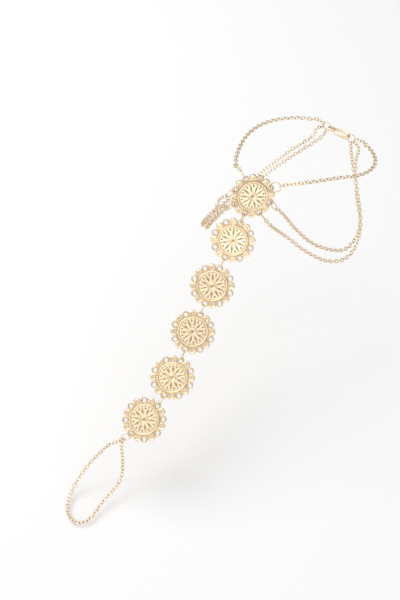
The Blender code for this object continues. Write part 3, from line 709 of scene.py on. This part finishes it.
# Route in millimetres between the rings that the chain hooks on, the last ring's angle, in
# degrees below its outer side, and how far the links lean from the way outward, in degrees
chainRoutes = {
    "ankle_chain_right": {
        "from": "ankle_ring_right", "to": "end_ring_right", "end": -15, "lean": 0,
        "points": [(13, -21, 12.5), (19, -12.5, 12), (24.8, -3.2, 11), (30.5, 6.5, 9.5),
                   (31.5, 16, 7.5), (29, 25, 5.5), (23, 32.5, 3.5), (16.5, 37, 2)]},
    "ankle_chain_left": {
        "from": "ankle_ring_left", "to": "end_ring_left", "end": -15, "lean": 0,
        "points": [(-17, -31.4, 13), (-21, -25.5, 11.7), (-26, -15, 10), (-29.5, -3, 8.5),
                   (-30, 9, 7), (-27, 21, 5), (-21, 30.5, 3.5), (-15.5, 36.5, 2)]},
    "swag_right_upper": {
        "from": "swag_ring_right_upper", "to": "end_ring_right", "end": 33, "lean": 45,
        "points": [(14.5, -18, -20), (20.9, -9.2, -32), (28.4, 3.4, -41), (30.3, 9.9, -43),
                   (30.5, 16.4, -42), (29.2, 22.6, -38), (26, 26.5, -33), (22.3, 28.5, -28),
                   (17.5, 33, -20), (13.5, 36.5, -11)]},
    "swag_right_lower": {
        "from": "swag_ring_right_lower", "to": "end_ring_right", "end": 81, "lean": 45,
        "points": [(10.3, -19.7, -26), (18.7, -10.8, -38), (25.7, -2.1, -46), (30.2, 6.1, -49),
                   (31.5, 12.6, -49), (31, 19.8, -46.5), (28.3, 26.2, -41), (24.5, 30.2, -35),
                   (19, 34, -27), (12.5, 37.5, -17)]},
    "swag_left_upper": {
        "from": "swag_ring_left_upper", "to": "end_ring_left", "end": 33, "lean": 45,
        "points": [(-15.5, -47, 0), (-18.2, -48.5, -9.5), (-23.5, -46, -19), (-29.5, -36, -27),
                   (-33.5, -22, -33), (-34.5, -7, -36), (-33.5, 8, -35), (-29.5, 21, -29),
                   (-22, 31, -19), (-14, 37, -9)]},
    "swag_left_lower": {
        "from": "swag_ring_left_lower", "to": "end_ring_left", "end": 81, "lean": 45,
        "points": [(-17.5, -44.5, -10), (-20.5, -44.5, -17.5), (-25.5, -39.5, -27),
                   (-31, -28, -36), (-35, -14, -42), (-36.5, 1, -44), (-34, 15, -40.5),
                   (-27, 27, -30.5), (-17, 35.5, -18)]},
}

# Measured from the middle of the last medallion, out of the toe ring and back to it
toeRoute = {
    "ring": "toe_ring", "spread": 10, "lean": 45, "seed": 9,
    "points": [(-9.2, -15.1, -12.2), (-11.8, -19.1, -17.2), (-14.3, -23, -22.7),
               (-15.8, -27.8, -28.2), (-15.5, -33.8, -32.2), (-13.4, -40.3, -34.2),
               (-9.3, -45.6, -34.7), (-4.3, -47.4, -34.8), (-0.2, -45.4, -34.7),
               (1.3, -40.3, -34.2), (0.6, -33.7, -33.2), (0.7, -26.8, -31.5),
               (1.4, -21.3, -29.2), (0.8, -17.4, -25.7), (-1.3, -14.4, -17.2)],
}


def smoothRoute(points):
    # A dense centripetal curve through the chosen points
    steps = chainLink["routeSteps"]
    ends = [points[0] * 2 - points[1]] + points + [points[-1] * 2 - points[-2]]
    dense = []
    for index in range(1, len(ends) - 2):
        p0, p1, p2, p3 = ends[index - 1:index + 3]
        t1 = (p1 - p0).length ** 0.5
        t2 = t1 + (p2 - p1).length ** 0.5
        t3 = t2 + (p3 - p2).length ** 0.5
        for step in range(steps):
            t = t1 + (t2 - t1) * step / steps
            a1 = p0 * ((t1 - t) / t1) + p1 * (t / t1)
            a2 = p1 * ((t2 - t) / (t2 - t1)) + p2 * ((t - t1) / (t2 - t1))
            a3 = p2 * ((t3 - t) / (t3 - t2)) + p3 * ((t - t2) / (t3 - t2))
            b1 = a1 * ((t2 - t) / t2) + a2 * (t / t2)
            b2 = a2 * ((t3 - t) / (t3 - t1)) + a3 * ((t - t1) / (t3 - t1))
            dense.append(b1 * ((t2 - t) / (t2 - t1)) + b2 * ((t - t1) / (t2 - t1)))
    dense.append(points[-1])
    return dense


def evenPoints(dense, pitch):
    lengths = [0]
    for start, end in zip(dense, dense[1:]):
        lengths.append(lengths[-1] + (end - start).length)
    count = round(lengths[-1] / pitch)
    spaced = []
    cursor = 0
    for index in range(count + 1):
        target = lengths[-1] * index / count
        while cursor < len(lengths) - 2 and lengths[cursor + 1] < target:
            cursor += 1
        share = (target - lengths[cursor]) / (lengths[cursor + 1] - lengths[cursor])
        spaced.append(dense[cursor].lerp(dense[cursor + 1], share))
    return spaced


def hookOn(ringName, angle, lead, toward=None):
    # Where an end link closes round a ring's wire, the way that it runs, and its side
    ring = ringFrames[ringName]
    turn = math.radians(angle)
    held = ring @ (Vector((math.cos(turn), math.sin(turn), 0)) * jumpRing["radius"] * mm)
    wire = ring.to_3x3() @ Vector((-math.sin(turn), math.cos(turn), 0))
    if toward is None:
        run = (held - ring.translation).normalized()
    else:
        run = squareTo(toward - held, wire)
    c = chainLink
    overhang = c["halfLength"] - c["pitch"] / 2
    reach = (jumpRing["wire"] + c["wire"] + c["hookGap"] - overhang) * mm
    return {"inner": held - run * reach, "lead": held + run * lead * mm,
            "side": wire.cross(run)}


def turnBetween(start, end, axis):
    return math.atan2(axis.dot(start.cross(end)), start.dot(end))


def linkFrames(stations, firstSide, lastSide, outwards, leanAngle, dice):
    # The side direction goes along with an even twist, so that the end links lie square to
    # the rings' wire, and every other link has a quarter turn. Between the ends the links
    # lean from the way outward
    runs = [(end - start).normalized() for start, end in zip(stations, stations[1:])]
    sides = [squareTo(firstSide, runs[0])]
    for run in runs[1:]:
        sides.append(squareTo(sides[-1], run))
    count = len(runs)
    quarters = math.pi / 2 * ((count - 1) % 2)
    wanted = squareTo(lastSide, runs[-1])
    twist = turnBetween(sides[-1], wanted, runs[-1]) - quarters
    twist = (twist + math.pi / 2) % math.pi - math.pi / 2
    frames = []
    lean = 0
    for index, (run, side) in enumerate(zip(runs, sides)):
        share = index / (count - 1)
        wantedLean = (turnBetween(side, squareTo(outwards[index], run), run)
                      + math.radians(leanAngle) - twist * share)
        lean += (wantedLean - lean + math.pi / 4) % (math.pi / 2) - math.pi / 4
        turn = math.pi / 2 * (index % 2) + twist * share
        turn += lean * smoothStep(chainLink["leanFrom"], chainLink["leanTo"],
                                  min(share, 1 - share))
        if 0 < index < count - 1:
            turn += math.radians(dice.uniform(-1, 1) * chainLink["jitter"])
        across = Matrix.Rotation(turn, 3, run) @ side
        middle = (stations[index] + stations[index + 1]) / 2
        frames.append(axesMatrix(run, run.cross(across), middle))
    return frames


def linkMesh():
    c = chainLink
    centres = []
    for step in range(c["steps"]):
        angle = 2 * math.pi * step / c["steps"]
        x, y = (math.copysign(abs(value) ** c["squareness"], value)
                for value in (math.cos(angle), math.sin(angle)))
        centres.append(Vector((c["halfLength"] * x, c["halfWidth"] * y, 0)))
    outwards = []
    for index, centre in enumerate(centres):
        ahead = centres[(index + 1) % len(centres)] - centres[index - 1]
        outwards.append(Vector((ahead.y, -ahead.x, 0)).normalized())
    bm = bmesh.new()
    # Painted shade at the links' ends, where each link passes through the next
    endShade = [smoothStep(c["shadeFrom"], 1, abs(centre.x) / c["halfLength"]) * c["shadeMost"]
            for centre in centres]
    sweepWire(bm, centres, outwards, c["wire"], c["sides"], True, endShade)
    bmesh.ops.recalc_face_normals(bm, faces=bm.faces)
    bmesh.ops.scale(bm, verts=bm.verts, vec=(mm, mm, mm))
    mesh = bpy.data.meshes.new("chainLink")
    bm.to_mesh(mesh)
    bm.free()
    return mesh


linkShape = linkMesh()


def chainMesh(points, first, last, inside, leanAngle, seed):
    # Outward is away from the point inside a loop, or else from the upright line through the
    # origin
    dice = random.Random(seed)
    stations = evenPoints(smoothRoute(points), chainLink["pitch"] * mm)
    outwards = [point - (inside or Vector((0, 0, point.z))) for point in stations]
    bm = bmesh.new()
    for place in linkFrames(stations, first["side"], last["side"], outwards, leanAngle, dice):
        link = linkShape.copy()
        link.transform(place)
        bm.from_mesh(link)
        bpy.data.meshes.remove(link)
    mesh = bpy.data.meshes.new("cableChain")
    bm.to_mesh(mesh)
    bm.free()
    return mesh, len(stations) - 1


linkTotal = 0
for seed, (name, row) in enumerate(chainRoutes.items()):
    first = hookOn(row["from"], 0, ankleLead)
    last = hookOn(row["to"], -row["end"], ankleLead)
    middle = [Vector(point) * mm for point in row["points"]]
    points = [first["inner"], first["lead"], *middle, last["lead"], last["inner"]]
    mesh, count = chainMesh(points, first, last, None, row["lean"], seed)
    addPiece("links" + name.title().replace("_", ""), mesh, wireGold, name)
    linkTotal += count

lastCentre = Vector(medallionPlaces[-1]["centre"])
middle = [(lastCentre + Vector(point)) * mm for point in toeRoute["points"]]
first = hookOn(toeRoute["ring"], toeRoute["spread"], toeLead, middle[0])
last = hookOn(toeRoute["ring"], -toeRoute["spread"], toeLead, middle[-1])
points = [first["inner"], first["lead"], *middle, last["lead"], last["inner"]]
mesh, count = chainMesh(points, first, last, sum(middle, Vector()) / len(middle),
                        toeRoute["lean"], toeRoute["seed"])
addPiece("linksToeChain", mesh, wireGold, "toe_chain")
print("chain links:", linkTotal + count)


# The clasp, all one plain piece: an eye round one end ring, and a long loop round the other
claspShape = {
    "place": (0, 38.6, 0), "thickness": 1.6, "edge": 0.5, "edgeSteps": 6,
    "eye": -4.7255, "eyeRadius": 1.8, "eyeHole": 0.85, "loopStart": -3.3255, "loopEnd": 6.5755,
    "halfWidth": 2.5, "band": 1.0, "steps": 96,
    "clear": 0.05, "clearShare": 1.03,           # where the eye's and the loop's outlines join
    "leastSpread": 0.75, "flatFrom": 0.999,
}


def claspOutlines():
    # Each outline runs so that the metal lies on its left
    c = claspShape
    eye = Vector((c["eye"], 0, 0))
    middle = Vector(((c["loopStart"] + c["loopEnd"]) / 2, 0, 0))
    half = (c["loopEnd"] - c["loopStart"]) / 2
    turns = [2 * math.pi * (step + 0.5) / c["steps"] for step in range(c["steps"])]

    def ovalPoint(long, wide, turn):
        return middle + Vector((long * math.cos(turn), wide * math.sin(turn), 0))

    loop = [ovalPoint(half, c["halfWidth"], turn - math.pi) for turn in turns]
    loop = [point for point in loop if (point - eye).length > c["eyeRadius"] + c["clear"]]
    tail = [eye + polar(c["eyeRadius"], turn) for turn in turns[::2]]
    tail = [point for point in tail if math.hypot(
        (point.x - middle.x) / half, point.y / c["halfWidth"]) > c["clearShare"]]
    inner = [ovalPoint(half - c["band"], c["halfWidth"] - c["band"], -turn) for turn in turns]
    hole = [eye + polar(c["eyeHole"], -turn) for turn in turns[::2]]
    return [loop + tail, inner, hole]


def drawnIn(outline, depth):
    points = []
    for index, point in enumerate(outline):
        ahead = (outline[(index + 1) % len(outline)] - point).normalized()
        behind = (point - outline[index - 1]).normalized()
        way = (ahead + behind).normalized()
        spread = max(way.dot(ahead), claspShape["leastSpread"])
        points.append(point + Vector((-way.y, way.x, 0)) * depth / spread)
    return points


def claspMesh():
    c = claspShape
    outlines = claspOutlines()
    levels = []
    for step in range(c["edgeSteps"] + 1):
        angle = math.pi / 2 * step / c["edgeSteps"]
        levels.append((c["edge"] * (1 - math.cos(angle)),
                       c["thickness"] / 2 - c["edge"] * (1 - math.sin(angle))))
    bm = bmesh.new()
    caps = {1: [], -1: []}
    for outline in outlines:
        rows = []
        for way, order in ((-1, reversed(levels)), (1, levels)):
            for depth, height in order:
                rows.append([bm.verts.new((point.x, point.y, way * height))
                             for point in drawnIn(outline, depth)])
        quadRows(bm, rows, True)
        caps[-1].append(rows[0])
        caps[1].append(rows[-1])
    for rows in caps.values():
        flat = [made for row in rows for made in row]
        for corners in tessellate_polygon([[made.co for made in row] for row in rows]):
            bm.faces.new([flat[corner] for corner in corners])
    bmesh.ops.recalc_face_normals(bm, faces=bm.faces)
    bmesh.ops.scale(bm, verts=bm.verts, vec=(mm, mm, mm))
    mesh = bpy.data.meshes.new("clasp")
    bm.to_mesh(mesh)
    bm.free()
    return mesh


clasp = addPiece("roundClasp", claspMesh(), wireGold, "clasp",
                 Matrix.Translation(Vector(claspShape["place"]) * mm))
for polygon in clasp.data.polygons:
    polygon.use_smooth = abs(polygon.normal.z) < claspShape["flatFrom"]
print("clasp:", len(clasp.data.polygons), "faces")


stageLook = {
    "floorLevel": -106.5, "floorSize": 3.0, "floorTone": (0.985, 0.985, 0.99, 1),
    "floorRough": 0.9, "floorShine": 0.1,
}

floorMesh = bpy.data.meshes.new("floor")
half = stageLook["floorSize"] / 2
level = stageLook["floorLevel"] * mm
floorMesh.from_pydata([(-half, -half, level), (half, -half, level), (half, half, level),
                       (-half, half, level)], [], [(0, 1, 2, 3)])
floor = bpy.data.objects.new("floor", floorMesh)
scene.collection.objects.link(floor)
floorMaterial = bpy.data.materials.new("paleFloor")
floorMaterial.use_nodes = True
floorShader = floorMaterial.node_tree.nodes["Principled BSDF"]
floorShader.inputs["Base Color"].default_value = stageLook["floorTone"]
floorShader.inputs["Roughness"].default_value = stageLook["floorRough"]
floorShader.inputs["Specular IOR Level"].default_value = stageLook["floorShine"]
floorMesh.materials.append(floorMaterial)

# Light of the room round the object: brighter toward one side, plain where the camera sees it
skyLook = {
    "brightSide": (-0.15, -0.6, 1), "from": 0.1, "to": 1.0, "dim": 0.4, "bright": 0.98,
    "cardSide": (-0.95, 0.25, 0.12), "cardEdge": 0.58, "cardMiddle": 0.85, "cardLight": 0.02,
    "shown": 1.0,
}
world = scene.world or bpy.data.worlds.new("World")
scene.world = world
world.use_nodes = True
worldNodes, worldLinks = world.node_tree.nodes, world.node_tree.links
background = worldNodes["Background"]
background.inputs["Color"].default_value = (1, 1, 1, 1)
direction = worldNodes.new("ShaderNodeTexCoord")
toward = worldNodes.new("ShaderNodeVectorMath")
toward.operation = "DOT_PRODUCT"
toward.inputs[1].default_value = Vector(skyLook["brightSide"]).normalized()
worldLinks.new(direction.outputs["Generated"], toward.inputs[0])
strength = worldNodes.new("ShaderNodeMapRange")
strength.interpolation_type = "SMOOTHSTEP"
strength.inputs["From Min"].default_value = skyLook["from"]
strength.inputs["From Max"].default_value = skyLook["to"]
strength.inputs["To Min"].default_value = skyLook["dim"]
strength.inputs["To Max"].default_value = skyLook["bright"]
worldLinks.new(toward.outputs["Value"], strength.inputs["Value"])
# A dark card beside the object, for the rims to reflect
towardCard = worldNodes.new("ShaderNodeVectorMath")
towardCard.operation = "DOT_PRODUCT"
towardCard.inputs[1].default_value = Vector(skyLook["cardSide"]).normalized()
worldLinks.new(direction.outputs["Generated"], towardCard.inputs[0])
card = worldNodes.new("ShaderNodeMapRange")
card.interpolation_type = "SMOOTHSTEP"
card.inputs["From Min"].default_value = skyLook["cardEdge"]
card.inputs["From Max"].default_value = skyLook["cardMiddle"]
worldLinks.new(towardCard.outputs["Value"], card.inputs["Value"])
carded = worldNodes.new("ShaderNodeMix")
carded.inputs["B"].default_value = skyLook["cardLight"]
worldLinks.new(card.outputs["Result"], carded.inputs["Factor"])
worldLinks.new(strength.outputs["Result"], carded.inputs["A"])
seen = worldNodes.new("ShaderNodeLightPath")
shown = worldNodes.new("ShaderNodeMix")
shown.inputs["B"].default_value = skyLook["shown"]
worldLinks.new(seen.outputs["Is Camera Ray"], shown.inputs["Factor"])
worldLinks.new(carded.outputs["Result"], shown.inputs["A"])
worldLinks.new(shown.outputs["Result"], background.inputs["Strength"])


lightLook = {
    "target": (0, -0.07, -0.04),
    "keyLight": {"place": (-0.6, -0.1, 0.8), "size": 0.8, "power": 4.6,
                 "color": (1, 0.99, 0.97)},
    "frontLight": {"place": (0.78, -0.92, 0.12), "size": 1.5, "power": 4.8,
                   "color": (1, 1, 1)},
}


def areaLight(name):
    look = lightLook[name]
    light = bpy.data.lights.new(name, "AREA")
    light.shape = "DISK"
    light.size = look["size"]
    light.energy = look["power"]
    light.color = look["color"]
    lamp = bpy.data.objects.new(name, light)
    lamp.location = look["place"]
    toward = Vector(lightLook["target"]) - Vector(look["place"])
    lamp.rotation_mode = "QUATERNION"
    lamp.rotation_quaternion = toward.to_track_quat("-Z", "Y")
    scene.collection.objects.link(lamp)


areaLight("keyLight")
areaLight("frontLight")

cameraLook = {
    "azimuth": 33, "elevation": 47, "roll": 5, "distance": 560, "target": (-1.3, -76.8, -32.5),
    "lens": 69.92, "sensor": 36,
}
azimuth, elevation, roll = (math.radians(cameraLook[key])
                            for key in ("azimuth", "elevation", "roll"))
toCamera = Vector((math.sin(azimuth) * math.cos(elevation),
                   -math.cos(azimuth) * math.cos(elevation), math.sin(elevation)))
levelRight = Vector((math.cos(azimuth), math.sin(azimuth), 0))
levelUp = toCamera.cross(levelRight)
right = math.cos(roll) * levelRight + math.sin(roll) * levelUp
cameraData = bpy.data.cameras.new("camera")
cameraData.lens = cameraLook["lens"]
cameraData.sensor_width = cameraLook["sensor"]
camera = bpy.data.objects.new("camera", cameraData)
scene.collection.objects.link(camera)
camera.matrix_world = axesMatrix(
    right, toCamera, (Vector(cameraLook["target"]) + toCamera * cameraLook["distance"]) * mm)
scene.camera = camera
scene.view_settings.view_transform = "Standard"
print("stage, light and camera made")
